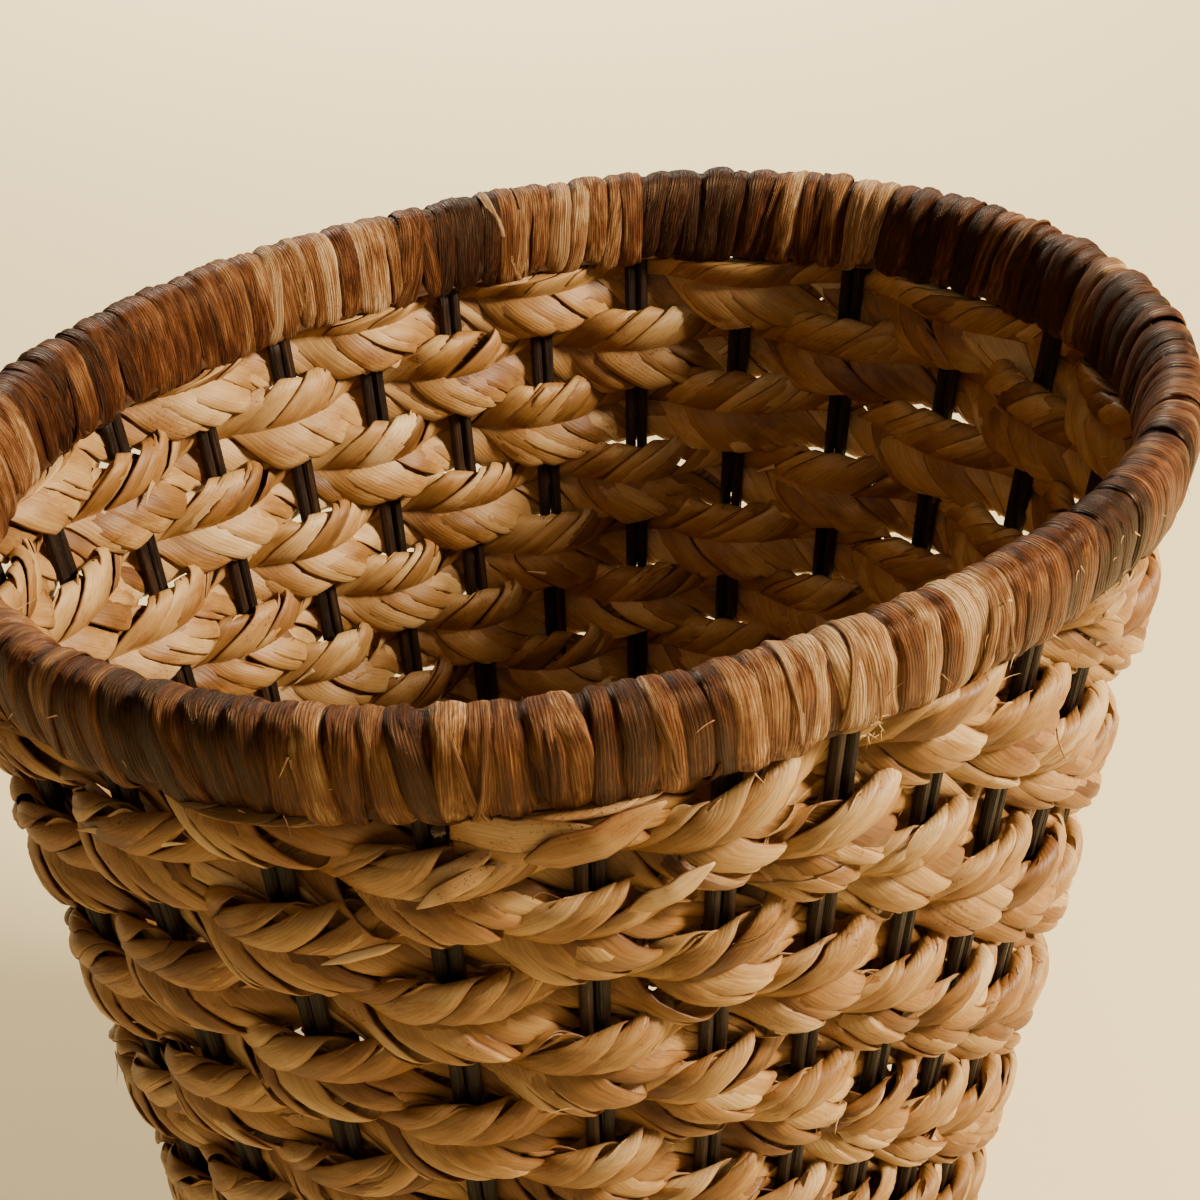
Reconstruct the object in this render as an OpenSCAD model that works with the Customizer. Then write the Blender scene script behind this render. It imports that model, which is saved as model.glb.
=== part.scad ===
// Oval laundry basket: one spiral plait woven over pairs of straight rods,
// between a bound rim and a bound foot, with a flat woven base.
// Millimetres, +Z up, origin at the centre of the footprint, long axis along X.

/* [Basket] */
// Long diameter of the wall's middle line, at the rim's mid height
rim_long = 452; // [420:2:480]
// Short diameter of the wall's middle line, at the rim's mid height
rim_short = 352; // [330:2:380]
// Overall height
height = 480; // [470:1:490]
// How far the wall leans out for each millimetre of height
flare = 0.116; // [0.08:0.004:0.13]

/* [Weave] */
// Pairs of upright rods, an odd number, so that one spiral weaves plain
pairs = 27; // [23:2:29]
// Diameter of each upright rod
rod_d = 5; // [4:0.5:6]
// Height that the spiral gains in one turn
pitch = 30.6; // [29:0.2:32]
// Thickness of the plait
plait_t = 8.6; // [7:0.2:10]

/* [Rim and foot] */
// Height of the bound rim
rim_h = 35; // [30:1:38]
// Height of the bound foot
foot_h = 24; // [20:1:28]
// Thickness of the leaf binding
bind_t = 1.6; // [1.2:0.2:2]
// Thickness of a rim hoop
hoop_t = 5.4; // [4:0.2:6]
// Lengths of leaf that bind the rim
strips = 9; // [6:1:9]

/* [Hidden] */
gap = 0.2; // clearance between neighbours that touch on the real basket
first_angle = 10.5; // direction of the first pair of rods
step = 360 / pairs;
end_angle = first_angle - 8.5 * step; // where the plait's top end is tucked in
mean_r = (rim_long + rim_short) / 4;
ovality = (rim_long - rim_short) / (rim_long + rim_short);
rim_z = height - rim_h / 2;
rim_low = height - rim_h;
top_z = rim_low + 0.4; // middle of the plait at its top end
plait_h = pitch - gap;
last_h = 4; // least height of the plait where it starts, over the foot
turns = floor((top_z + plait_h / 2 - foot_h - last_h) / pitch);
end_lift = 11; // how far the plait is pulled up beside its tucked end
lift_ramp = 1.75; // rod pairs over which that pull sets in
lift_reach = 4; // rod pairs over which it fades along the wall
lift_rows = 6; // rows over which it fades down the wall
swing = rod_d / 2 + plait_t / 2 + gap; // how far the plait's middle moves in and out
flat_share = 0.16; // half of the stretch that runs straight past a pair, in steps
rod_spread = rod_d / 2 + gap / 2; // from a pair's middle to each rod's axis
hoop_in = rod_d / 2 + gap;
base_frame_t = 12;
foot_hoop_t = 6;
hoop_play = 0.3; // between a hoop and the binding round it
rod_play = 1; // between a long rod's top and the binding, and beside the rods under the rim
foot_play = 1; // between the foot's hoops and its top edge
cut_every = 4; // of every so many shorter rods, one is cut off well under the rim
cut_low = 8; // how far under
outline_steps = 2 * pairs;
mat_step = 43; // between pairs of base rods
mat_pairs = 7;
mat_rows = 7;
mat_pitch = 30.6;
mat_low = 3; // underside of the base mat
mat_mid = mat_low + rod_d / 2 + plait_t + gap;

function two(i) = i < 10 ? str("0", i) : str(i);

// Distance from the axis to the wall's middle line, in a direction and at a height
function wall_r(a, z) = (mean_r + flare * (z - rim_z)) * (1 + ovality * cos(2 * a));

// Outward normal of the oval, level, in a direction
function normal(a) =
    let (r = 1 + ovality * cos(2 * a), dr = -2 * ovality * sin(2 * a), l = norm([r, dr]))
    [(r * cos(a) + dr * sin(a)) / l, (r * sin(a) - dr * cos(a)) / l];

function smooth(x) =
    let (t = min(1, max(0, x)))
    t * t * (3 - 2 * t);

// How far the plait is pulled up, u pairs along the spiral from its top end:
// to one side of the tucked end, the rows below it close up under the rim
function lift(u) =
    let (w = (pairs - u % pairs) % pairs, x = w > pairs - 1 ? w - pairs : w)
    u < 2 ? 0 :
    end_lift * smooth((x + 1) / lift_ramp) * exp(-pow(x / lift_reach, 2))
        * max(0, 1 - max(0, u / pairs - 1) / lift_rows);

// Height of the plait's middle, u pairs along the spiral from its top end
function row_z(u) = top_z - pitch * u / pairs + lift(u);

// A point of the wall, set off outward by d
function wall_point(a, z, d = 0) =
    let (r = wall_r(a, z), n = normal(a))
    [r * cos(a) + d * n[0], r * sin(a) + d * n[1], z];

// The same point, set off sideways along the wall by s
function beside(a, z, s) =
    let (n = normal(a), p = wall_point(a, z))
    [p[0] - s * n[1], p[1] + s * n[0], z];

// A closed outline [offset, height] carried round the wall from angle a0 to a1
module band(outline, a0 = 0, a1 = 360, steps = outline_steps) {
    m = len(outline);
    full = a1 - a0 == 360;
    rings = full ? steps : steps + 1;
    points = [for (i = [0:rings - 1]) let (a = a0 + (a1 - a0) * i / steps)
        for (q = outline) wall_point(a, q[1], q[0])];
    sides = [for (i = [0:steps - 1], j = [0:m - 1])
        let (p = i * m, q = ((i + 1) % rings) * m, k = (j + 1) % m)
        [p + j, p + k, q + k, q + j]];
    caps = full ? [] : [
        [for (j = [0:m - 1]) m - 1 - j],
        [for (j = [0:m - 1]) (rings - 1) * m + j]];
    polyhedron(points, concat(sides, caps), convexity = 10);
}

// A level oval of the wall at height z, set off outward by d
module oval(z, d) {
    polygon([for (i = [0:outline_steps - 1])
        let (p = wall_point(i * 360 / outline_steps, z, d)) [p[0], p[1]]]);
}

// A straight-sided hoop between two offsets
module hoop(z0, z1, inner, outer, at) {
    translate([0, 0, z0])
        linear_extrude(z1 - z0)
            difference() {
                oval(at, outer);
                oval(at, inner);
            }
}

module rod(from, to, d) {
    v = to - from;
    translate(from)
        rotate([0, acos(v[2] / norm(v)), atan2(v[1], v[0])])
            cylinder(h = norm(v), d = d, $fn = 32);
}

// ---- rim

rim_pad = bind_t + hoop_play;
hoop_slope = [3, 7]; // the bevel along a rim hoop's top edge
low_bevel = [3, 4]; // the binding's lower corners, across and up
high_bevel = [4, 5]; // its upper corners, across and down
crown = 1; // how far its top rises from those corners to the middle

function hoop_outline(side) = [
    [side * hoop_in, rim_low + rim_pad],
    [side * (hoop_in + hoop_t), rim_low + rim_pad],
    [side * (hoop_in + hoop_t), height - rim_pad - hoop_slope[1]],
    [side * (hoop_in + hoop_t - hoop_slope[0]), height - rim_pad],
    [side * hoop_in, height - rim_pad]];

function reversed(v) = [for (i = [len(v) - 1:-1:0]) v[i]];

function mirrored(v) = [for (p = v) [-p[0], p[1]]];

module rim_hoop_outer() {
    color("#6b4a2a")
        band(hoop_outline(1));
}

module rim_hoop_inner() {
    color("#6b4a2a")
        band(reversed(hoop_outline(-1)));
}

// A channel of wound leaf over both hoops, open below for the rods
module rim_binding(i) {
    span = 360 / strips;
    out = hoop_in + hoop_t + rim_pad;
    lip = rod_d / 2 + gap + rod_play;
    side = height - crown - high_bevel[1];
    half = [
        [lip, rim_low],
        [out - low_bevel[0], rim_low],
        [out, rim_low + low_bevel[1]],
        [out, side],
        [out - high_bevel[0], height - crown]];
    inner = [
        [high_bevel[0] - out, height - bind_t],
        [out - high_bevel[0], height - bind_t],
        [out - bind_t, side - bind_t],
        [out - bind_t, rim_low + bind_t],
        [lip, rim_low + bind_t]];
    outline = concat(
        half,
        [[0, height]],
        reversed(mirrored(half)),
        [[-lip, rim_low + bind_t], [bind_t - out, rim_low + bind_t], [bind_t - out, side - bind_t]],
        inner);
    color(i % 3 == 0 ? "#7a3f22" : "#8a5f37")
        band(outline, end_angle + (i - 1) * span, end_angle + i * span, ceil(2 * pairs / strips));
}

// ---- wall

// One turn of the plait: k counts from the bottom, and the spiral climbs clockwise
module weave_turn(k) {
    marks = concat([0], [for (i = [0:pairs - 1], s = [-1, 1]) i + 0.5 + s * flat_share], [pairs]);
    from_top = turns - k;
    rings = [for (m = marks)
        let (a = end_angle - m * step,
             u = from_top * pairs + m,
             over = round(u - 0.5) % 2 == 0 ? -1 : 1,
             d = m == 0 || m == pairs ? 0 : swing * over,
             z = row_z(u),
             low = max(z - plait_h / 2, foot_h + gap, row_z(u + pairs) + plait_h / 2 + gap),
             high = min(z + plait_h / 2, rim_low - gap))
        [wall_point(a, low, d - plait_t / 2), wall_point(a, low, d + plait_t / 2),
         wall_point(a, high, d + plait_t / 2), wall_point(a, high, d - plait_t / 2)]];
    n = len(rings);
    color("#c99a5b")
        polyhedron([for (r = rings) each r],
            concat([for (i = [0:n - 2], j = [0:3])
                let (p = 4 * i, q = p + 4, l = (j + 1) % 4) [p + l, p + j, q + j, q + l]],
                [[0, 1, 2, 3], [4 * n - 1, 4 * n - 2, 4 * n - 3, 4 * n - 4]]),
            convexity = 10);
}

// A long rod that the rim's hoops hold, and a shorter one that stops under the rim,
// one in every few pairs well under it
module stake_pair(k) {
    a = first_angle + (k - 1) * step;
    foot = bind_t + hoop_play;
    cut = k % cut_every == 1 ? cut_low : rod_play;
    color("#2b1a12") {
        rod(beside(a, foot, -rod_spread), beside(a, height - rim_pad - rod_play, -rod_spread), rod_d);
        rod(beside(a, foot, rod_spread), beside(a, rim_low - cut, rod_spread), rod_d);
    }
}

// ---- foot and base

foot_out = hoop_in + foot_hoop_t + flare * foot_h;
foot_in = hoop_in + base_frame_t;

module foot_hoop() {
    color("#6b4a2a")
        hoop(bind_t + hoop_play, foot_h - foot_play, hoop_in + flare * foot_h, foot_out, 0);
}

module base_frame() {
    color("#6b4a2a")
        hoop(bind_t + hoop_play, foot_h - foot_play, -foot_in, -hoop_in, 0);
}

// A channel of wound leaf under and round the foot, open above for the rods
module foot_binding() {
    pad = hoop_play + bind_t;
    color("#5a3420") {
        hoop(0, bind_t, -foot_in - pad, foot_out + pad, 0);
        hoop(bind_t, foot_h, foot_out + hoop_play, foot_out + pad, 0);
        hoop(bind_t, foot_h, -foot_in - pad, -foot_in - hoop_play, 0);
    }
}

module inside_frame(d) {
    intersection() {
        children();
        translate([0, 0, mat_low])
            linear_extrude(2 * height)
                oval(0, -foot_in - hoop_play - bind_t - gap - d);
    }
}

module base_rods() {
    color("#2b1a12")
        inside_frame(0)
            for (i = [0:mat_pairs - 1], s = [-1, 1])
                translate([(i - (mat_pairs - 1) / 2) * mat_step + s * rod_spread, 0, mat_mid])
                    rotate([90, 0, 0])
                        cylinder(h = rim_short, d = rod_d, center = true, $fn = 32);
}

// One straight plait of the base, seen from the side, going over and under the base rods
module mat_side(row) {
    half = mat_step * mat_pairs / 2;
    marks = [for (i = [0:mat_pairs - 1], s = [-1, 1]) [i, i + 0.5 + s * flat_share]];
    line = concat(
        [[-half, 0]],
        [for (m = marks) [-half + m[1] * mat_step, ((m[0] + row) % 2 == 0 ? 1 : -1) * swing]],
        [[half, 0]]);
    n = len(line);
    polygon(concat(
        [for (p = line) p + [0, plait_t / 2]],
        [for (i = [n - 1:-1:0]) line[i] - [0, plait_t / 2]]));
}

module base_plaits() {
    color("#c99a5b")
        inside_frame(hoop_play)
            for (row = [0:mat_rows - 1])
                translate([0, (row - (mat_rows - 1) / 2) * mat_pitch, mat_mid])
                    rotate([90, 0, 0])
                        linear_extrude(mat_pitch - gap, center = true)
                            mat_side(row);
}

rim_hoop_outer();
rim_hoop_inner();
for (i = [1:strips])
    rim_binding(i);
for (k = [1:turns])
    weave_turn(k);
for (k = [1:pairs])
    stake_pair(k);
foot_hoop();
foot_binding();
base_frame();
base_rods();
base_plaits();
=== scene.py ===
# The woven laundry basket: its plaited wall, bound rim and foot, base, floor, lights and camera.
# Everything is in metres, in the frame of the CAD model, long axis along X and front at -Y.
import math

import bpy
import numpy as np
from mathutils import Matrix, Vector


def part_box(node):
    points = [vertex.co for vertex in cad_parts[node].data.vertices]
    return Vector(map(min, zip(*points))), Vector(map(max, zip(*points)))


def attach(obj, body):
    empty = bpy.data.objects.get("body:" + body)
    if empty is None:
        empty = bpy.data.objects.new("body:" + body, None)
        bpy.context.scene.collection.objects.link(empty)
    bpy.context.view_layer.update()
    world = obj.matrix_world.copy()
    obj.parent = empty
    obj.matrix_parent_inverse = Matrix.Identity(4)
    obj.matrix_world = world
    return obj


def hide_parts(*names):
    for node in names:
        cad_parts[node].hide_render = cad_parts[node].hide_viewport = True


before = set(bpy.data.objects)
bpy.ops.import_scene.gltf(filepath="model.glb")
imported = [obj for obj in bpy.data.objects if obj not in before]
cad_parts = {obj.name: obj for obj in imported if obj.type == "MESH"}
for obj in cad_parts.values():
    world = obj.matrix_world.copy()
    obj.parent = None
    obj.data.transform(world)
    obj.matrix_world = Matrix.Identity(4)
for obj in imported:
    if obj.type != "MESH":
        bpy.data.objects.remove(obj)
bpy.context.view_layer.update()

MM = 0.001
TURN = 2 * math.pi

# ---- the wall, as the CAD model lays it out

PAIRS = sum(name.startswith("stake_pair_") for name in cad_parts)
TURNS = sum(name.startswith("weave_turn_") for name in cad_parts)
STRIPS = sum(name.startswith("rim_binding_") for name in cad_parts)
STEP = TURN / PAIRS
FIRST_ANGLE = math.radians(10.5)
END_ANGLE = FIRST_ANGLE - 8.5 * STEP
RIM_LONG, RIM_SHORT = 452 * MM, 352 * MM
MEAN_R = (RIM_LONG + RIM_SHORT) / 4
OVALITY = (RIM_LONG - RIM_SHORT) / (RIM_LONG + RIM_SHORT)
FLARE = 0.116
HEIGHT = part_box("rim_binding_1")[1].z
RIM_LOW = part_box("rim_binding_1")[0].z
RIM_Z = (HEIGHT + RIM_LOW) / 2
FOOT_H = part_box("foot_binding")[1].z
ROD_R = 2.5 * MM
ROD_SPREAD = 2.6 * MM
PITCH = 30.6 * MM  # from one row of the plait to the next
SWING = 6.4 * MM  # how far the plait goes in and out round the rods
TOP_Z = 445.4 * MM  # middle of the plait at its top end
END_LIFT = 11 * MM  # how far it is pulled up beside that end


def smooth(x):
    t = np.clip(x, 0, 1)
    return t * t * (3 - 2 * t)


def drift(x, every, seed):
    """A smooth random line between -1 and 1 that changes over about every."""
    table = np.random.default_rng(seed).uniform(-1, 1, 997)
    t = np.asarray(x, float) / every + 300
    i = np.floor(t).astype(int)
    f = smooth(t - i)
    return table[i % 997] * (1 - f) + table[(i + 1) % 997] * f


def lift(u):
    """How far the plait is pulled up, u pairs along the spiral from its top end."""
    w = np.mod(-u, PAIRS)
    x = np.where(w > PAIRS - 1, w - PAIRS, w)
    fade = np.maximum(0, 1 - np.maximum(0, u / PAIRS - 1) / 6)
    up = END_LIFT * smooth((x + 1) / 1.75) * np.exp(-((x / 4) ** 2)) * fade
    return np.where(u < 2, 0, up)


def row_z(u):
    return TOP_Z - PITCH * u / PAIRS + lift(u)


def normal(a):
    """Level outward normal of the oval wall in direction a."""
    r = 1 + OVALITY * np.cos(2 * a)
    dr = -2 * OVALITY * np.sin(2 * a)
    size = np.hypot(r, dr)
    x = (r * np.cos(a) + dr * np.sin(a)) / size
    y = (r * np.sin(a) - dr * np.cos(a)) / size
    return np.stack([x, y, 0 * a], -1)


def wall_point(a, z, d=0.0):
    """A point of the wall's middle line, set off outward by d."""
    a, z, d = np.broadcast_arrays(*(np.asarray(value, float) for value in (a, z, d)))
    r = (MEAN_R + FLARE * (z - RIM_Z)) * (1 + OVALITY * np.cos(2 * a))
    return np.stack([r * np.cos(a), r * np.sin(a), z], -1) + d[..., None] * normal(a)


def unit(v):
    return v / np.maximum(np.linalg.norm(v, axis=-1, keepdims=True), 1e-12)


# ---- meshes from grids of points


class Heap:
    """Grids of points gathered into one mesh. leaf holds, at each point, how far along and across
    its strip it lies and the strip's tone."""

    def __init__(self):
        self.points, self.leaf, self.faces, self.count = [], [], [], 0

    def grid(self, points, leaf, caps=True):
        """A closed tube: rings of points, each ring going all the way round."""
        rings, around = points.shape[:2]
        i, j = np.meshgrid(np.arange(rings - 1), np.arange(around), indexing="ij")
        k = (j + 1) % around
        here, beyond = i * around, (i + 1) * around
        quads = np.stack([here + j, here + k, beyond + k, beyond + j], -1).reshape(-1, 4)
        flat = points.reshape(-1, 3)
        middle = flat.mean(0)
        a, b, c, d = (flat[quads[:, n]] - middle for n in range(4))
        inside_out = np.einsum("ij,ij->i", a, np.cross(b, c) + np.cross(c, d)).sum() < 0
        if inside_out:
            quads = quads[:, ::-1]
        self.faces += (quads + self.count).tolist()
        if caps:
            first = np.arange(around)[::-1]
            last = np.arange(around) + (rings - 1) * around
            for ring in (first, last):
                ring = ring[::-1] if inside_out else ring
                self.faces.append((ring + self.count).tolist())
        self.points.append(flat)
        self.leaf.append(np.broadcast_to(leaf, points.shape).reshape(-1, 3))
        self.count += len(flat)

    def build(self, name, material, slot, replaces=()):
        mesh = bpy.data.meshes.new(name)
        mesh.from_pydata(np.concatenate(self.points).tolist(), [], self.faces)
        leaf = mesh.attributes.new("leaf", "FLOAT_VECTOR", "POINT")
        leaf.data.foreach_set("vector", np.concatenate(self.leaf).astype(np.float32).ravel())
        mesh.polygons.foreach_set("use_smooth", np.ones(len(mesh.polygons), bool))
        mesh.materials.append(material)
        mesh.update()
        piece = bpy.data.objects.new(name, mesh)
        bpy.context.scene.collection.objects.link(piece)
        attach(piece, "root")
        if replaces:
            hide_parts(*replaces)
        return piece


def lens(count):
    """A strip's cross-section: across from -1 to 1, and which face, 1 outside to -1 inside."""
    turn = np.arange(count) / count * TURN
    across = np.cos(turn)
    face = np.sign(np.sin(turn)) * np.abs(np.sin(turn)) ** 0.55
    return across, face


# ---- materials


def node(tree, kind, sockets=None, **settings):
    n = tree.nodes.new(kind)
    for name, value in settings.items():
        setattr(n, name, value)
    for name, value in (sockets or {}).items():
        if isinstance(value, bpy.types.NodeSocket):
            tree.links.new(value, n.inputs[name])
        else:
            n.inputs[name].default_value = value
    return n


def maths(tree, operation, a, b=0.5, clamp=False):
    return node(tree, "ShaderNodeMath", {0: a, 1: b}, operation=operation, use_clamp=clamp).outputs[0]


def ramp(tree, value, stops):
    n = node(tree, "ShaderNodeValToRGB", {"Fac": value})
    while len(n.color_ramp.elements) < len(stops):
        n.color_ramp.elements.new(0.5)
    for element, (place, color) in zip(n.color_ramp.elements, stops):
        element.position = place
        element.color = (*color, 1)
    return n.outputs["Color"]


def blend(tree, mode, amount, a, b):
    n = node(tree, "ShaderNodeMix", data_type="RGBA", blend_type=mode)
    for socket, value in ((0, amount), (6, a), (7, b)):
        if isinstance(value, bpy.types.NodeSocket):
            tree.links.new(value, n.inputs[socket])
        else:
            n.inputs[socket].default_value = value
    return n.outputs[2]


def noise(tree, vector, detail=3.0, rough=0.55, scale=1.0):
    return node(
        tree, "ShaderNodeTexNoise", {"Vector": vector, "Scale": scale, "Detail": detail, "Roughness": rough}
    ).outputs["Fac"]


def spread(tree, value, low, high):
    """value stretched so that low becomes 0 and high becomes 1."""
    return node(
        tree, "ShaderNodeMapRange", {"Value": value, "From Min": low, "From Max": high}, clamp=True
    ).outputs["Result"]


def leaf_material(
    name, stops, fibre, fleck, fleck_color, groove, rough, gloss, bump, variety=0.5, sheen=(1, 1, 1)
):
    """Dried leaf or cane: colour by strip tone, with streaks, flecks and grooves along its length.
    fibre is how many fibres lie across a strip, groove how dark they get, variety how much the
    colour changes within a strip, and sheen the colour of what it reflects."""
    material = bpy.data.materials.new(name)
    material.use_nodes = True
    tree = material.node_tree
    shader = tree.nodes["Principled BSDF"]
    attribute = node(tree, "ShaderNodeAttribute", attribute_name="leaf")
    parts = node(tree, "ShaderNodeSeparateXYZ", {0: attribute.outputs["Vector"]}).outputs
    along, across, tone = parts[0], parts[1], parts[2]

    def place(run, side, seed):
        return node(
            tree,
            "ShaderNodeCombineXYZ",
            {
                0: maths(tree, "MULTIPLY", along, run),
                1: maths(tree, "MULTIPLY", across, side),
                2: maths(tree, "MULTIPLY", tone, seed),
            },
        ).outputs[0]

    fibres = noise(tree, place(34, fibre, 19), 4)
    wander = maths(tree, "MULTIPLY", noise(tree, place(9, 1.5, 5), 2), 9.0)
    lines = maths(tree, "MULTIPLY", across, fibre * 2.1)
    lines = maths(tree, "SINE", maths(tree, "ADD", lines, wander), 0.0)
    lines = spread(tree, lines, -1.0, 1.0)
    fine = noise(tree, place(60, fibre * 3.1, 31), 2)
    patches = noise(tree, place(70, 1.3, 11), 3)
    place_3d = node(tree, "ShaderNodeTexCoord").outputs["Object"]
    blotch = noise(tree, place_3d, 2, scale=38)
    specks = noise(tree, place_3d, 2, scale=900)
    mixed = maths(tree, "MULTIPLY_ADD", maths(tree, "SUBTRACT", patches, 0.5), variety)
    mixed.node.inputs[2].default_value = 0
    value = maths(tree, "ADD", mixed, tone, clamp=True)
    color = ramp(tree, value, stops)
    dark = maths(tree, "MULTIPLY_ADD", spread(tree, fibres, 0.62, 0.36), 0.7)
    tree.links.new(maths(tree, "MULTIPLY", lines, 0.3), dark.node.inputs[2])
    color = blend(tree, "MULTIPLY", maths(tree, "MULTIPLY", dark, groove), color, (0.42, 0.30, 0.20, 1))
    light = spread(tree, fine, 0.55, 0.75)
    lit = maths(tree, "MULTIPLY", light, groove * 0.35)
    color = blend(tree, "SCREEN", lit, color, (0.30, 0.22, 0.13, 1))
    # painted shade: the colour is darkened towards a strip's edges, in place of the shade in the crevices
    # between strips
    edge_shade = spread(tree, maths(tree, "ABSOLUTE", across), 0.84, 1.0)
    color = blend(tree, "MULTIPLY", maths(tree, "MULTIPLY", edge_shade, 0.9), color, (0.36, 0.19, 0.09, 1))
    where = spread(tree, blotch, 0.50, 0.66)
    stained = maths(tree, "MULTIPLY", where, fleck * 0.55)
    color = blend(tree, "MULTIPLY", stained, color, (0.62, 0.42, 0.26, 1))
    specked = maths(tree, "MULTIPLY", spread(tree, specks, 0.60, 0.68), where)
    color = blend(tree, "MIX", maths(tree, "MULTIPLY", specked, fleck), color, (*fleck_color, 1))
    tree.links.new(color, shader.inputs["Base Color"])
    roughness = maths(tree, "MULTIPLY_ADD", fibres, 0.3)
    roughness.node.inputs[2].default_value = rough - 0.15
    tree.links.new(roughness, shader.inputs["Roughness"])
    shader.inputs["Specular IOR Level"].default_value = gloss
    shader.inputs["Specular Tint"].default_value = (*sheen, 1)
    height = maths(tree, "ADD", fibres, maths(tree, "MULTIPLY", fine, 0.5))
    height = maths(tree, "SUBTRACT", height, maths(tree, "MULTIPLY", lines, 0.35))
    relief = node(tree, "ShaderNodeBump", {"Strength": bump, "Distance": 0.0009, "Height": height})
    tree.links.new(relief.outputs[0], shader.inputs["Normal"])
    return material


straw = leaf_material(
    "plaited_leaf",
    [
        (0.0, (0.16, 0.062, 0.011)),
        (0.3, (0.37, 0.178, 0.043)),
        (0.6, (0.57, 0.340, 0.118)),
        (1.0, (0.82, 0.60, 0.30)),
    ],
    fibre=13, fleck=1.0, fleck_color=(0.13, 0.05, 0.015), groove=0.44, rough=0.50, gloss=0.4, bump=0.22,
)
rim_leaf = leaf_material(
    "rim_leaf",
    [
        (0.0, (0.026, 0.006, 0.003)),
        (0.28, (0.10, 0.026, 0.008)),
        (0.55, (0.25, 0.095, 0.030)),
        (0.8, (0.52, 0.285, 0.115)),
        (1.0, (0.80, 0.55, 0.29)),
    ],
    fibre=15, fleck=0.5, fleck_color=(0.03, 0.010, 0.004), groove=1.3, rough=0.42, gloss=0.34, bump=1.0,
    variety=1.3, sheen=(1.0, 0.55, 0.25),
)
rod_skin = leaf_material(
    "dark_rod",
    [
        (0.0, (0.005, 0.002, 0.001)),
        (0.5, (0.020, 0.008, 0.003)),
        (0.85, (0.06, 0.027, 0.010)),
        (1.0, (0.14, 0.075, 0.030)),
    ],
    fibre=7, fleck=0.3, fleck_color=(0.14, 0.10, 0.06), groove=0.6, rough=0.5, gloss=0.3, bump=0.9,
    variety=0.9,
)


def cane_material(name, dark, light):
    """Split cane seen between the windings: colour and grooves from noise in place."""
    material = bpy.data.materials.new(name)
    material.use_nodes = True
    tree = material.node_tree
    shader = tree.nodes["Principled BSDF"]
    place = node(tree, "ShaderNodeTexCoord").outputs["Object"]
    streaks = node(tree, "ShaderNodeMapping", {"Vector": place, "Scale": (45, 45, 700)}).outputs[0]
    streaks = noise(tree, streaks, 4)
    patches = noise(tree, place, 3, scale=60)
    color = ramp(tree, maths(tree, "MULTIPLY", streaks, patches), [(0.1, dark), (0.42, light)])
    tree.links.new(color, shader.inputs["Base Color"])
    shader.inputs["Roughness"].default_value = 0.7
    shader.inputs["Specular IOR Level"].default_value = 0.2
    relief = node(tree, "ShaderNodeBump", {"Strength": 0.6, "Distance": 0.0006, "Height": streaks})
    tree.links.new(relief.outputs[0], shader.inputs["Normal"])
    return material


hoop_skin = cane_material("hoop_cane", (0.018, 0.007, 0.002), (0.13, 0.055, 0.018))
pith = leaf_material(
    "cut_pith",
    [(0.0, (0.30, 0.20, 0.10)), (0.5, (0.52, 0.40, 0.24)), (1.0, (0.72, 0.60, 0.42))],
    fibre=6, fleck=0.6, fleck_color=(0.16, 0.09, 0.04), groove=0.5, rough=0.75, gloss=0.2, bump=1.0,
)

# ---- the plait: three folded strands, each of a few leaves

HALF = 17.8 * MM  # from the plait's middle to its folds
PERIOD = 94 * MM  # length in which a strand goes to both edges and back
SLOPE = math.atan(4 * HALF / PERIOD)
LAYER = 2.3 * MM  # how far the front and back layers stand off the middle
FOLD = 0.985  # how sharply a strand turns over at the edges, up to 1
RINGS = 14  # rings of points from one fold to the next
# a strand's leaves: place across, width and height in mm, points around, how far they come and go
LEAVES = [
    (-3.6, 13.4, 0.5, 14, 0.0),
    (5.2, 11.0, 0.0, 14, 0.0),
    (-1.2, 10.5, 1.2, 8, 1.0),
    (4.6, 8.0, 0.9, 8, 1.0),
]


def plait(heap, start, end, path, seed):
    """A flat plait from start to end, measured along its middle. path gives, at any distance, the
    middle, the way out from its face, the way up across it, and its width as a share."""
    for strand in range(3):
        for number, (place, width, height, around, come) in enumerate(LEAVES):
            tag = seed * 97 + strand * 11 + number
            sizes = (place * MM, width * MM, height * MM)
            leaf_strip(heap, start, end, path, strand, *sizes, around, come, tag)


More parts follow.
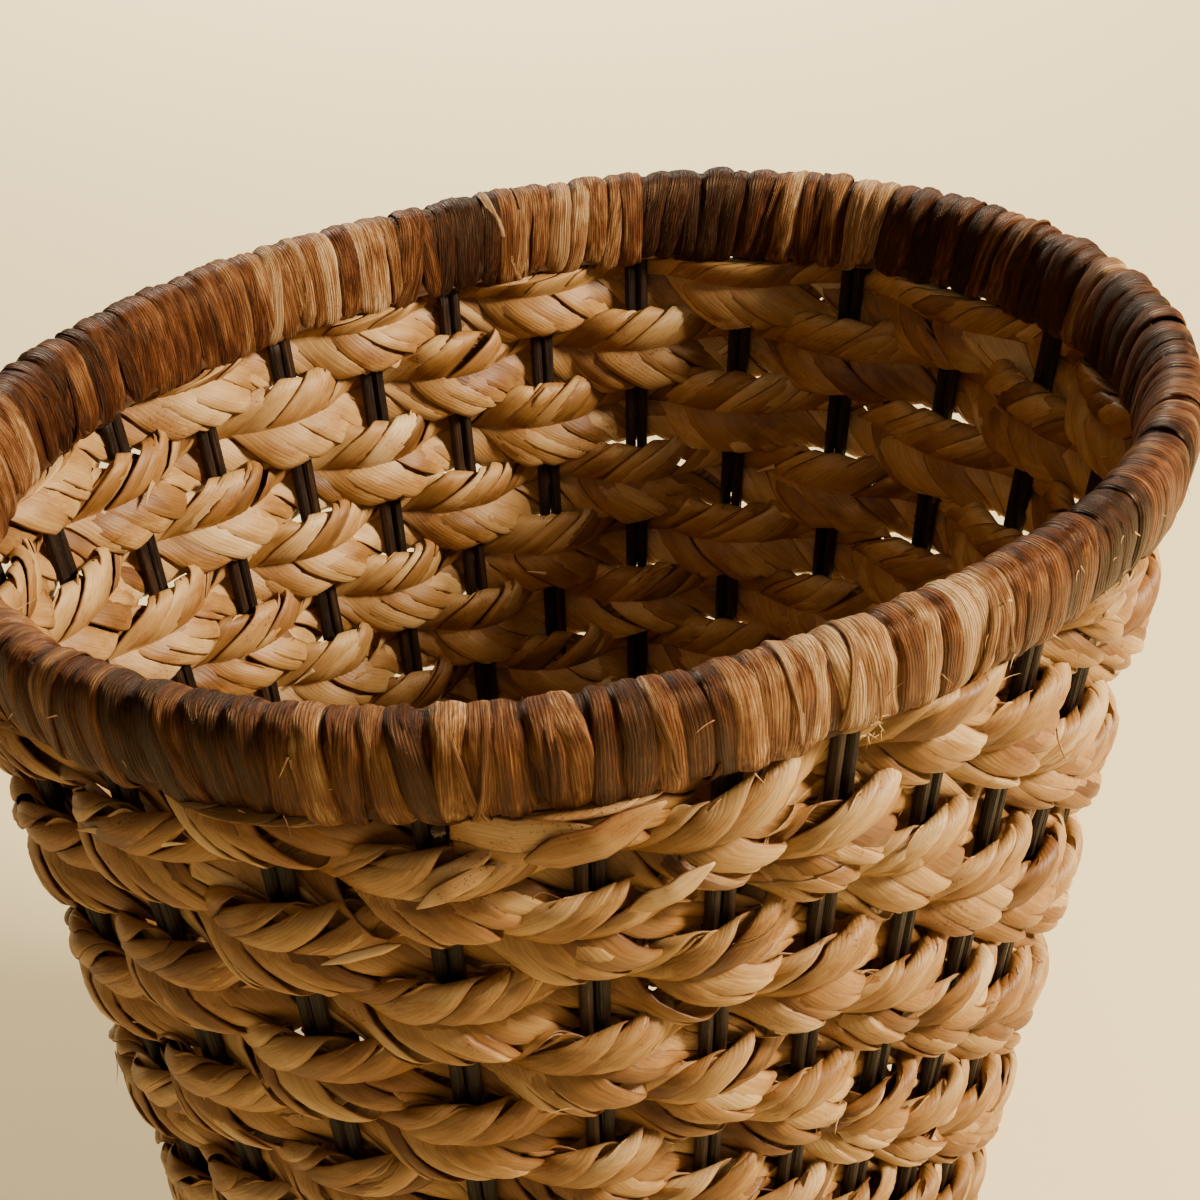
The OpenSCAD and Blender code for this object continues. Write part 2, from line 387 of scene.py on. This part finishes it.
def leaf_strip(heap, start, end, path, strand, place, width, height, around, come, tag):
    """One leaf of a strand, folded over at the plait's edges."""
    across, face = (v[None, :] for v in lens(around))
    even = PERIOD / 2 / RINGS
    t = np.arange(math.floor(start / even), math.ceil(end / even) + 1)[:, None] * even
    t = np.clip(t, start, end)
    turned = -TURN * (t / PERIOD + strand / 3)
    crowding = 0.6 * PERIOD / (2 * TURN) * np.sin(2 * turned)  # rings lie closer at the folds
    t = t - crowding * smooth((t - start) / even) * smooth((end - t) / even)
    present = smooth(3.4 * (0.05 + drift(t, 0.034, tag + 20))) if come else 1 + 0 * t
    wide = width * (1 + 0.16 * drift(t, 0.037, tag) + 0.06 * drift(t, 0.011, tag + 1))
    wide = wide * (0.04 + 0.96 * present)
    wide = wide * (1 - 0.28 * np.abs(np.sin(TURN * (t / PERIOD + strand / 3))) ** 8)
    x = place + 2.1 * MM * drift(t, 0.045, tag + 2) + across * wide / 2
    at = t + x / math.sin(SLOPE)
    phase = -TURN * (t / PERIOD + strand / 3) + 0.30 * drift(t, 0.05, 7 * strand) + 0 * across
    half = HALF * (1 + 0.07 * drift(t, 0.02, tag + 3) - 0.09 * across)
    y = half * np.arcsin(FOLD * np.sin(phase)) / math.asin(FOLD)
    side = np.tanh(1.9 * np.sin(2 * phase)) / math.tanh(1.9)
    crown = 1.35 * MM * (1 - np.abs(across) ** 2.4) * (0.25 + 0.75 * present)
    ridge = 0.5 * MM * np.abs(drift(across * 1.3 + 0 * t, 0.8, tag + 4)) * drift(t, 0.024, tag + 5)
    tilt = -(1.1 + 0.6 * drift(t, 0.04, tag + 7)) * MM * across * present
    stack = (height + 0.4 * MM) * present**0.4 - 0.4 * MM if come else height
    z = side * (LAYER + stack + crown + tilt + ridge) + 0.5 * MM * drift(t, 0.028, 5 * strand + tag // 97)
    dy = np.cos(phase) / np.sqrt(1 - (FOLD * np.sin(phase)) ** 2)
    dz = 3.8 * np.cos(2 * phase) * (1 - np.tanh(1.9 * np.sin(2 * phase)) ** 2) * LAYER / HALF * 1.57
    size = np.hypot(dy, dz)
    thick = (0.6 if come == 0 else 0.4) * MM * face
    y = y - dz / size * thick
    z = z + dy / size * thick
    middle, out, up, share = path(at)
    points = middle + (y * share)[..., None] * up + (z * (0.5 + 0.5 * share))[..., None] * out
    over = np.maximum(0, points[..., 2] - (RIM_LOW - 2 * MM))  # squeezed under the rim
    points[..., 2] -= 0.86 * over
    under = np.maximum(0, 3 * MM - points[..., 2])  # and at its lower end kept off the floor
    points[..., 2] += 0.86 * under
    # paler where the strand turns over at the plait's edges: partly worn, whitened folds and partly a
    # painted highlight on the folds
    folded = np.abs(np.sin(phase)) ** 6
    tone = 0.36 + 0.30 * drift(t, 0.036, tag + 8) + 0.12 * drift(t, 0.3, tag + 9) + 0.10 * drift(tag, 1, 10)
    tone = tone + 0.16 * folded + 0.05 * drift(across * 2, 0.7, tag + 11)
    along = at * math.cos(SLOPE) + 0.37 * strand + 0.11 * (tag % 11)
    leaf = np.stack(np.broadcast_arrays(along, across + 0 * t, tone), -1)
    heap.grid(points, leaf)


# the spiral's middle line, tabled against the distance along it

FINE = 40  # table entries a pair
CROWD = 6 * MM  # how much closer the upper rows lie than the even pitch
table_u = np.arange(-2 * FINE, TURNS * PAIRS * FINE + 2 * FINE + 1) / FINE


def swing(u):
    """In at the first pair from the top end, out at the next, and so on."""
    return -SWING * np.tanh(1.2 * np.cos(math.pi * (u - 0.5))) / math.tanh(1.2)


def spiral(u):
    tuck = 10 * MM * (1 - smooth(u / 0.9))  # the top end goes up inside the rim
    tuck = tuck + CROWD * smooth(u / PAIRS - 1) * (1 - u / PAIRS / TURNS)
    w = np.mod(u, PAIRS)  # the top rows also close up under the rim on the far side
    close = CROWD * smooth(w / 9) * smooth((26.6 - w) / 3)
    tuck = tuck + close * np.maximum(0, 1 - np.floor(u / PAIRS) * 0.35)
    a = END_ANGLE - u * STEP
    z = row_z(u) + tuck + 0.8 * MM * drift(u, 1.7, 5)
    return wall_point(a, z, swing(u) * smooth((u + 0.6) / 0.9) + 0.5 * MM * drift(u, 0.9, 6))


table_p = spiral(table_u)
table_s = np.concatenate([[0], np.cumsum(np.linalg.norm(np.diff(table_p, axis=0), axis=1))])
table_t = unit(np.gradient(table_p, table_s, axis=0))
table_out = normal(END_ANGLE - table_u * STEP)
slope_up = np.stack([FLARE * table_out[:, 0], FLARE * table_out[:, 1], 1 + 0 * table_u], -1)
table_b = unit(slope_up - (slope_up * table_t).sum(1, keepdims=True) * table_t)
table_n = np.cross(table_b, table_t)
table_n *= np.sign((table_n * table_out).sum(1, keepdims=True))
table_w = 0.30 + 0.70 * smooth((table_u + 0.2) / 1.3)


def wall_path(s):
    def look(table):
        return np.stack([np.interp(s, table_s, table[:, k]) for k in range(3)], -1)

    return look(table_p), unit(look(table_n)), unit(look(table_b)), np.interp(s, table_s, table_w)


def distance(u):
    return float(np.interp(u, table_u, table_s))


for turn in range(TURNS):
    number = TURNS - turn
    heap = Heap()
    plait(heap, distance(turn * PAIRS), distance((turn + 1) * PAIRS), wall_path, 3)
    heap.build("plait_turn_%02d" % number, straw, "plait", ["weave_turn_%02d" % number])

# ---- the rods


def rod(heap, low, high, seed, radius=ROD_R, ring=7 * MM):
    """A ridged cane between two points."""
    low, high = np.asarray(low, float), np.asarray(high, float)
    length = np.linalg.norm(high - low)
    way = (high - low) / length
    side = unit(np.cross(way, [0.3, 0.9, 0.1]))
    other = np.cross(way, side)
    t = np.linspace(0, length, max(3, int(length / ring)))[:, None]
    turn = np.arange(24)[None, :] / 24 * TURN
    ridges = 0.055 * np.cos(9 * turn + drift(t, 0.12, seed) * 2) + 0.045 * drift(turn * 2.2, 1, seed + 1)
    r = radius * (0.97 + ridges + 0.03 * drift(t, 0.03, seed + 2))
    bend = 0.35 * MM * drift(t, 0.07, seed + 3)
    points = low + way * t[..., None] + side * (r * np.cos(turn) + bend)[..., None]
    points = points + other * (r * np.sin(turn))[..., None]
    tone = 0.42 + 0.25 * drift(t, 0.09, seed + 4) + 0.2 * drift(turn * 1.5, 1, seed + 5)
    leaf = np.stack(np.broadcast_arrays(t + seed * 0.13, np.sin(turn / 2) * 2 - 1, tone), -1)
    heap.grid(points, leaf)
    return high, way, side, other


def cut_end(heap, high, way, side, other, seed):
    """A rough, pale domed end over a rod's top."""
    turn = np.arange(24)[None, :] / 24 * TURN
    share = np.array([1.0, 0.99, 0.86, 0.6, 0.3, 0.05])[:, None]
    rise = np.array([-0.5, 0.25, 0.6, 0.72, 0.7, 0.72])[:, None] * MM
    rough = 0.28 * MM * drift(turn * 2.0 + 3 * share, 0.6, seed) * (1 - share**4)
    r = ROD_R * 0.98 * share * (1 + 0.05 * drift(turn * 2, 0.7, seed + 1))
    points = np.asarray(high) + way * (rise + rough)[..., None] + side * (r * np.cos(turn))[..., None]
    points = points + other * (r * np.sin(turn))[..., None]
    tone = 0.5 + 0.3 * drift(seed, 1, 9) + 0 * share
    leaf = [0.03 * np.cos(turn) * share + seed, np.sin(turn) * share, tone]
    leaf = np.stack(np.broadcast_arrays(*leaf), -1)
    heap.grid(points, leaf)


def beside(a, z, s):
    """A point of the wall's middle line, set off sideways by s."""
    n = normal(np.asarray(a, float))
    p = wall_point(a, z)
    return p + s * np.stack([-n[..., 1], n[..., 0], 0 * n[..., 0]], -1)


ROD_FOOT = 1.9 * MM  # how high the rods start
ROD_STOP = 3 * MM  # how far under the rim's top the long ones end
CUT_LOW, CUT_HIGH = 10 * MM, 1 * MM  # how far under the rim the short ones end, one in four and the rest
cut_ends = Heap()
for k in range(1, PAIRS + 1):
    a = FIRST_ANGLE + (k - 1) * STEP
    heap = Heap()
    cut = CUT_LOW if k % 4 == 1 else CUT_HIGH
    rod(heap, beside(a, ROD_FOOT, -ROD_SPREAD), beside(a, HEIGHT - ROD_STOP, -ROD_SPREAD), 10 * k)
    top = rod(heap, beside(a, ROD_FOOT, ROD_SPREAD), beside(a, RIM_LOW - cut, ROD_SPREAD), 10 * k + 5)
    cut_end(cut_ends, *top, k)
    heap.build("rods_%02d" % k, rod_skin, "dark_rod", ["stake_pair_%02d" % k])
cut_ends.build("cut_rod_ends", pith, "dark_rod")

# ---- leaf windings of the rim and the foot


def wound_strip(
    heap, outline, a, wide, lean, height, tone, seed, shift, bulge=0.17, steps=56, around=20
):
    """One strip of leaf wound round an outline [offset, height, way out] at direction a."""
    across, face = lens(around)
    v = np.linspace(0, 1, steps)[:, None]
    offset, z, out_d, out_z = outline(v)
    width = wide * (1 + 0.16 * drift(v, 0.17, seed) + 0.06 * drift(v, 0.05, seed + 1))
    x = across[None, :] * width / 2
    ridge = 0.32 * MM * drift(across[None, :] * 2.6, 0.5, seed + 2) * (0.6 + 0.4 * drift(v, 0.2, seed + 3))
    round_up = width * bulge * (1 - np.abs(across[None, :]) ** 3)
    for crease in (1, 2):  # sharp furrows where the strip is folded lengthwise
        away = across[None, :] - 0.75 * drift(v, 0.5, seed + 10 * crease)
        here = smooth(0.5 + 1.5 * drift(v, 0.3, seed + 11 * crease))
        round_up = round_up - 0.55 * MM * np.exp(-((away / 0.10) ** 2)) * here
    stand = height * (0.5 + 0.5 * drift(v, 0.26, seed + 4)) + round_up - 0.8 * MM
    stand = stand + 1.3 * MM * across[None, :] * drift(v, 0.4, seed + 5) + ridge + 0.42 * MM * face[None, :]
    # a strip goes up the inside and down the outside, so it leans as a slanted ring does
    along_rim = shift(v) - lean * np.cos(TURN * v) / 2 + 1.2 * MM * drift(v, 0.3, seed + 6) + x
    radius = np.linalg.norm(wall_point(a, z)[..., :2], axis=-1)
    angle = a + along_rim / radius
    points = wall_point(angle, z + stand * out_z, offset + stand * out_d)
    shade = tone + 0.15 * drift(v, 0.3, seed + 7) + 0.08 * drift(across[None, :] * 3, 0.6, seed + 8)
    leaf = [v * 0.11 + 0.17 * seed, across[None, :] + 0 * v, shade]
    leaf = np.stack(np.broadcast_arrays(*leaf), -1)
    heap.grid(points, leaf)


def rim_outline(v, sag=0.0):
    """Round the rim from under its inside, up, over the top, down the outside and under again."""
    turn = -TURN * (v + 0.25)
    c, s = np.cos(turn), np.sin(turn)
    half_w, half_h = 9.3 * MM, (HEIGHT - RIM_LOW) / 2 + np.where(s > 0, 0.3 * MM, sag - 0.8 * MM)
    square_w, square_h = np.where(s > 0, 0.78, 0.55), np.where(s > 0, 0.86, 0.7)  # rounder above than below
    px = -np.sign(c) * np.abs(c) ** square_w * half_w
    pz = np.sign(s) * np.abs(s) ** square_h * half_h - 0.5 * MM
    # the outline's own normal, from its shape
    nx = -np.sign(c) * np.abs(c) ** (2 - square_w) / half_w
    nz = np.sign(s) * np.abs(s) ** (2 - square_h) / half_h
    size = np.hypot(nx, nz)
    return px, RIM_Z + pz, nx / size, nz / size


WRAPS = 146
LEAN = -1.5 * MM  # how far a wrap leans from its underside to its top, at the front
LEAN_MORE = -5 * MM  # and how much more round the right-hand end
rng = np.random.default_rng(12)
heaps = [Heap() for _ in range(STRIPS)]
for i in range(WRAPS):
    share = (i + 0.5 + rng.uniform(-0.16, 0.16)) / WRAPS
    a = END_ANGLE + share * TURN
    tone = 0.46 + 0.36 * float(drift(i, 6.5, 21)) + rng.uniform(-0.32, 0.32)
    lean = LEAN + LEAN_MORE * float(smooth(0.5 + 0.8 * math.cos(a + 0.35)))
    nearest = FIRST_ANGLE + round((a - FIRST_ANGLE) / STEP) * STEP
    gap = (a - nearest) * MEAN_R
    push = (math.copysign(1, gap) * 6.5 * MM - gap) * math.exp(-((gap / (5 * MM)) ** 2))

    def shift(v, push=push):
        under = np.exp(-((v / 0.07) ** 2)) + np.exp(-(((v - 1.0) / 0.07) ** 2))
        return push * under

    sag = rng.uniform(-1.0, 2.4) * MM
    strips = [(rng.uniform(9.2, 12.4), rng.normal(0, 2.2) * MM, rng.uniform(0.1, 1.5), tone)]
    if rng.random() < 0.6:  # a second, narrower strip that crosses over
        wide, cross, height = rng.uniform(3.0, 6.5), rng.normal(0, 8) * MM, rng.uniform(1.5, 2.5)
        strips.append((wide, cross, height, tone + rng.uniform(-0.15, 0.3)))
    # the strip beneath keeps a fixed dark tone, 0.14: painted shade in the gaps between the wraps
    wound_strip(  # a flat dark one beneath, between this wrap and the next
        heaps[int(share * STRIPS) % STRIPS], rim_outline, a + TURN / WRAPS / 2, 10 * MM, lean, 0, 0.14,
        50 * i + 40, shift, bulge=0.05, steps=30, around=10,
    )
    for number, (wide, cross, height, shade) in enumerate(strips):
        wound_strip(
            heaps[int(share * STRIPS) % STRIPS], lambda v, sag=sag: rim_outline(v, sag),
            a + number * rng.uniform(-3, 3) * MM / MEAN_R, wide * MM, lean + cross, height * MM, shade,
            50 * i + 25 * number, shift,
        )
for number, heap in enumerate(heaps, 1):
    heap.build("rim_winding_%d" % number, rim_leaf, "rim_leaf", ["rim_binding_%d" % number])

FOOT_OUT = 13.4 * MM
FOOT_IN = -16.6 * MM


def foot_outline(v):
    """Round the foot from the top of its inside, down, under and up the outside."""
    low_z, high_z, r = 2.0 * MM, FOOT_H - 0.9 * MM, 3.5 * MM
    inner, outer = FOOT_IN + 1.6 * MM, FOOT_OUT - 1.6 * MM
    first, last = (-3.2 * MM, high_z), (6.6 * MM, high_z)
    corners = [first, (inner, high_z), (inner, low_z), (outer, low_z), (outer, high_z), last]
    line = [np.array(corners[0])]
    for before, here, after in zip(corners, corners[1:], corners[2:]):
        before, here, after = (np.array(c) for c in (before, here, after))
        p, q = here + unit(before - here) * r, here + unit(after - here) * r
        for t in np.linspace(0, 1, 7):
            line.append((1 - t) ** 2 * p + 2 * t * (1 - t) * here + t * t * q)
    line.append(np.array(corners[-1]))
    line = np.array(line)
    length = np.concatenate([[0], np.cumsum(np.linalg.norm(np.diff(line, axis=0), axis=1))])
    length /= length[-1]
    way = unit(np.gradient(line, axis=0))
    x, z, out_d, out_z = (np.interp(v, length, values) for values in (*line.T, way[:, 1], -way[:, 0]))
    return x, z, out_d, np.where(out_z < 0, 0.35, 1) * out_z


FOOT_WRAPS = 101
heap = Heap()
for i in range(FOOT_WRAPS):
    a = END_ANGLE + (i + 0.5 + rng.uniform(-0.12, 0.12)) / FOOT_WRAPS * TURN
    tone = 0.40 + 0.32 * float(drift(i, 5.5, 22)) + rng.uniform(-0.13, 0.13)
    wound_strip(
        heap, foot_outline, a, rng.uniform(10, 13) * MM, rng.normal(0, 2.5) * MM, rng.uniform(0.1, 0.7) * MM,
        tone, 50 * i + 9000, lambda v: 0 * v, 0.14, around=16,
    )
heap.build("foot_winding", rim_leaf, "foot_leaf", ["foot_binding"])

# ---- the base: rods across, plaits along

MAT_STEP = 43 * MM
MAT_PAIRS = 7
MAT_ROWS = 7
MAT_MID = (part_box("base_rods")[0].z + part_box("base_rods")[1].z) / 2
oval = wall_point(np.linspace(0, TURN, 721), 0, FOOT_IN + 2 * MM)


def reach(x):
    """How far the base goes to each side at distance x along the long axis."""
    half = len(oval) // 2
    return float(np.interp(-abs(x), -oval[: half // 2 + 1, 0], oval[: half // 2 + 1, 1]))


def reach_long(y):
    quarter = len(oval) // 4
    return float(np.interp(abs(y), oval[: quarter + 1, 1], oval[: quarter + 1, 0]))


heap = Heap()
for i in range(MAT_PAIRS):
    for side in (-1, 1):
        x = (i - (MAT_PAIRS - 1) / 2) * MAT_STEP + side * ROD_SPREAD
        y = reach(x)
        rod(heap, (x, -y, MAT_MID), (x, y, MAT_MID), 600 + 4 * i + side)
heap.build("base_rod_pairs", rod_skin, "dark_rod", ["base_rods"])

heap = Heap()
for row in range(MAT_ROWS):
    y0 = (row - (MAT_ROWS - 1) / 2) * PITCH
    long = reach_long(y0)

    def mat_path(s, y0=y0, row=row):
        u = s / MAT_STEP
        d = -SWING * np.tanh(1.2 * np.cos(math.pi * (u + row))) / math.tanh(1.2)
        slope = SWING * math.pi / MAT_STEP * np.sin(math.pi * (u + row)) * 0.9
        flat = np.zeros_like(s)
        middle = np.stack([s, flat + y0, MAT_MID + d], -1)
        out = unit(np.stack([-slope, flat, flat + 1], -1))
        up = np.stack([flat, flat + 1, flat], -1)
        return middle, out, up, flat + 1

    plait(heap, -long, long, mat_path, 40 + row)
heap.build("base_plait_rows", straw, "plait", ["base_plaits"])

# ---- stray fibres and leaf tips


def sprig(heap, root, way, up, length, wide, curl, tone, seed):
    """A thin tapering tip of leaf that stands off its root and curls."""
    across, face = lens(6)
    t = np.linspace(0, 1, 9)[:, None]
    width = wide * (1 - t) ** 0.7 + 0.05 * MM
    side = np.cross(way, up)
    bend = curl * t * t * length
    center = root + way * (t * length)[..., None] + up * bend[..., None]
    points = center + side * (across[None, :] * width / 2)[..., None]
    points = points + up * (face[None, :] * np.minimum(width * 0.3, 0.25 * MM))[..., None]
    leaf = [t * length + seed, across[None, :] + 0 * t, tone + 0 * t]
    leaf = np.stack(np.broadcast_arrays(*leaf), -1)
    heap.grid(points, leaf)


def blade(heap, line, out, wide, tone, seed, blunt=0.0):
    """A flat leaf along a line of points, pointed at its ends, or blunt at the first."""
    across, face = lens(10)
    t = np.linspace(0, 1, 15)
    knots = np.linspace(0, 1, len(line))
    center = np.stack([np.interp(t, knots, np.array(line)[:, k]) for k in range(3)], -1)
    side = unit(np.cross(np.gradient(center, axis=0), out))[:, None, :]
    taper = np.clip(np.maximum(t, blunt) * 5, 0.05, 1) * np.clip((1 - t) * 3, 0.04, 1)
    width = (wide * taper**0.75)[:, None]
    rise = 1.1 * MM * (1 - across[None, :] ** 2) * taper[:, None] + 0.4 * MM * face[None, :]
    points = center[:, None, :] + side * (across[None, :] * width / 2)[..., None]
    points = points + np.asarray(out) * rise[..., None]
    leaf = [t[:, None] * 0.05 + seed, across[None, :], tone + 0.1 * t[:, None]]
    leaf = np.stack(np.broadcast_arrays(*leaf), -1)
    heap.grid(points, leaf)


def on_wall(u, z, d):
    return wall_point(END_ANGLE - u * STEP, z * MM, d * MM)


def out_at(u):
    return normal(np.array(END_ANGLE - u * STEP))


# leaves that stand out from the plait: points by pairs along the spiral, height and offset in mm,
# the pair that they face, width in mm, tone and how blunt the first end is
STANDING = [
    ([(2.37, 438.5, 1.5), (2.0, 437.5, 8), (1.45, 439.5, 13.4)], 1.9, 13.5, 0.68, 0.16),
    ([(2.36, 430.5, 2), (2.0, 430.5, 8), (1.6, 434, 12.5)], 2, 8, 0.46, 0.16),
    ([(1.95, 430.5, 11.6), (1.5, 436, 14.4), (1.05, 444, 11)], 1.5, 13, 0.30, 0.0),
    ([(29.12, 427, 8.6), (29.4, 422, 12.6), (29.6, 415, 13.0)], 29.4, 7, 0.66, 0.0),
    ([(56.75, 395, 8.5), (57.0, 393, 12.0), (57.22, 389.5, 14.0)], 57, 4, 0.80, 0.0),
    ([(55.3, 401, 10), (55.0, 407, 12.6), (54.7, 414, 11.5)], 55, 9, 0.66, 0.0),
]
heap = Heap()
for number, (line, faces, wide, tone, blunt) in enumerate(STANDING, 1):
    blade(heap, [on_wall(*point) for point in line], out_at(faces), wide * MM, tone, number, blunt)
heap.build("standing_leaves", straw, "plait")

rng = np.random.default_rng(31)
heap = Heap()
for i in range(150):
    u = rng.uniform(1, TURNS * PAIRS * 0.97)
    s = distance(u)
    middle, out, up, _ = wall_path(np.array([s]))
    face = rng.choice([-1, 1])
    height = rng.uniform(-0.8, 0.8) * HALF
    root = middle[0] + up[0] * height + out[0] * face * (LAYER + 1.6 * MM)
    along = unit(np.cross(out[0], up[0]) * rng.choice([-1, 1]) + up[0] * rng.uniform(-0.7, 0.7))
    if rng.random() < 0.4:
        size, wide, curl = rng.uniform(9, 20), rng.uniform(1.8, 4.5), rng.uniform(0.08, 0.3)
    else:
        size, wide, curl = rng.uniform(6, 18), rng.uniform(0.25, 0.7), rng.uniform(0.1, 0.6)
    sprig(heap, root, along, out[0] * face, size * MM, wide * MM, curl, rng.uniform(0.55, 0.95), i)
heap.build("loose_leaf_tips", straw, "plait")

KNOT_ANGLE = FIRST_ANGLE + 19 * STEP  # where a winding of the rim ends in a frayed tuft
TUFT = 16
heap = Heap()
for i in range(110):
    knot = i < TUFT
    a = KNOT_ANGLE + rng.uniform(-3, 5) * MM / MEAN_R if knot else rng.uniform(0, TURN)
    z = RIM_LOW + rng.uniform(-2, 7) * MM if knot else rng.uniform(RIM_LOW, HEIGHT - 4 * MM)
    out = normal(np.array(a))
    level = np.array([-out[1], out[0], 0])
    along = unit(level * rng.uniform(-1, 1) + np.array([0, 0, rng.uniform(-1, 0.5)]))
    root = wall_point(a, z, (11.2 if knot else 10.6) * MM)
    size = rng.uniform(2, 4.5) if knot else rng.uniform(2.5, 7)
    wide, curl, tone = rng.uniform(0.3, 0.9) * MM, rng.uniform(0.0, 0.4), rng.uniform(0.45, 0.85)
    sprig(heap, root, along, out, size * MM, wide, curl, tone, i)
heap.build("frayed_rim_fibres", straw, "rim_leaf")

# ---- CAD pieces that show as they are

for name in ("rim_hoop_outer", "rim_hoop_inner", "foot_hoop", "base_frame"):
    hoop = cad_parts[name]
    hoop.data.materials.clear()
    hoop.data.materials.append(hoop_skin)

# ---- floor, lights and camera


def plain(name, color, rough):
    material = bpy.data.materials.new(name)
    material.use_nodes = True
    shader = material.node_tree.nodes["Principled BSDF"]
    shader.inputs["Base Color"].default_value = (*color, 1)
    shader.inputs["Roughness"].default_value = rough
    return material


bpy.ops.mesh.primitive_plane_add(size=60)
floor = bpy.context.object
floor.name = "floor"
floor.data.materials.append(plain("floor_cream", (0.90, 0.735, 0.41), 0.85))


def area_light(name, place, target, size, power, color):
    data = bpy.data.lights.new(name, "AREA")
    data.shape = "DISK"
    data.size = size
    data.energy = power
    data.color = color
    lamp = bpy.data.objects.new(name, data)
    lamp.location = place
    lamp.rotation_euler = (Vector(target) - Vector(place)).to_track_quat("-Z", "Y").to_euler()
    bpy.context.scene.collection.objects.link(lamp)
    return lamp


target = (0, 0, RIM_LOW)
area_light("key", (1.25, -0.95, 1.35), target, 0.45, 95, (1.0, 0.86, 0.66))
area_light("fill", (-1.6, -1.5, 1.9), target, 1.8, 5, (1.0, 0.90, 0.76))
area_light("backdrop", (1.6, 2.6, 2.2), (1.4, 2.4, 0), 2.0, 225, (1.0, 0.93, 0.78))

world = bpy.data.worlds.new("studio")
bpy.context.scene.world = world
world.use_nodes = True
world.node_tree.nodes["Background"].inputs["Color"].default_value = (1.0, 0.82, 0.60, 1)
world.node_tree.nodes["Background"].inputs["Strength"].default_value = 0.16

# the camera's place and ways, worked out with the basket's plan from its rods, rows and rim
CAMERA = Vector((-343.8, -549.8, 807.2)) * MM
FORWARD = Vector((0.4492, 0.7094, -0.5432))
RIGHT = Vector((0.8360, -0.5481, -0.0244))
LENS = 60.76

camera_data = bpy.data.cameras.new("camera")
camera_data.lens = LENS
camera_data.sensor_width = 36
camera_data.clip_start = 0.01
camera = bpy.data.objects.new("camera", camera_data)
bpy.context.scene.collection.objects.link(camera)
forward = FORWARD.normalized()
right = (RIGHT - RIGHT.dot(forward) * forward).normalized()
upward = right.cross(forward)
turn = Matrix((right, upward, -forward)).transposed()
camera.matrix_world = Matrix.Translation(CAMERA) @ turn.to_4x4()
bpy.context.scene.camera = camera
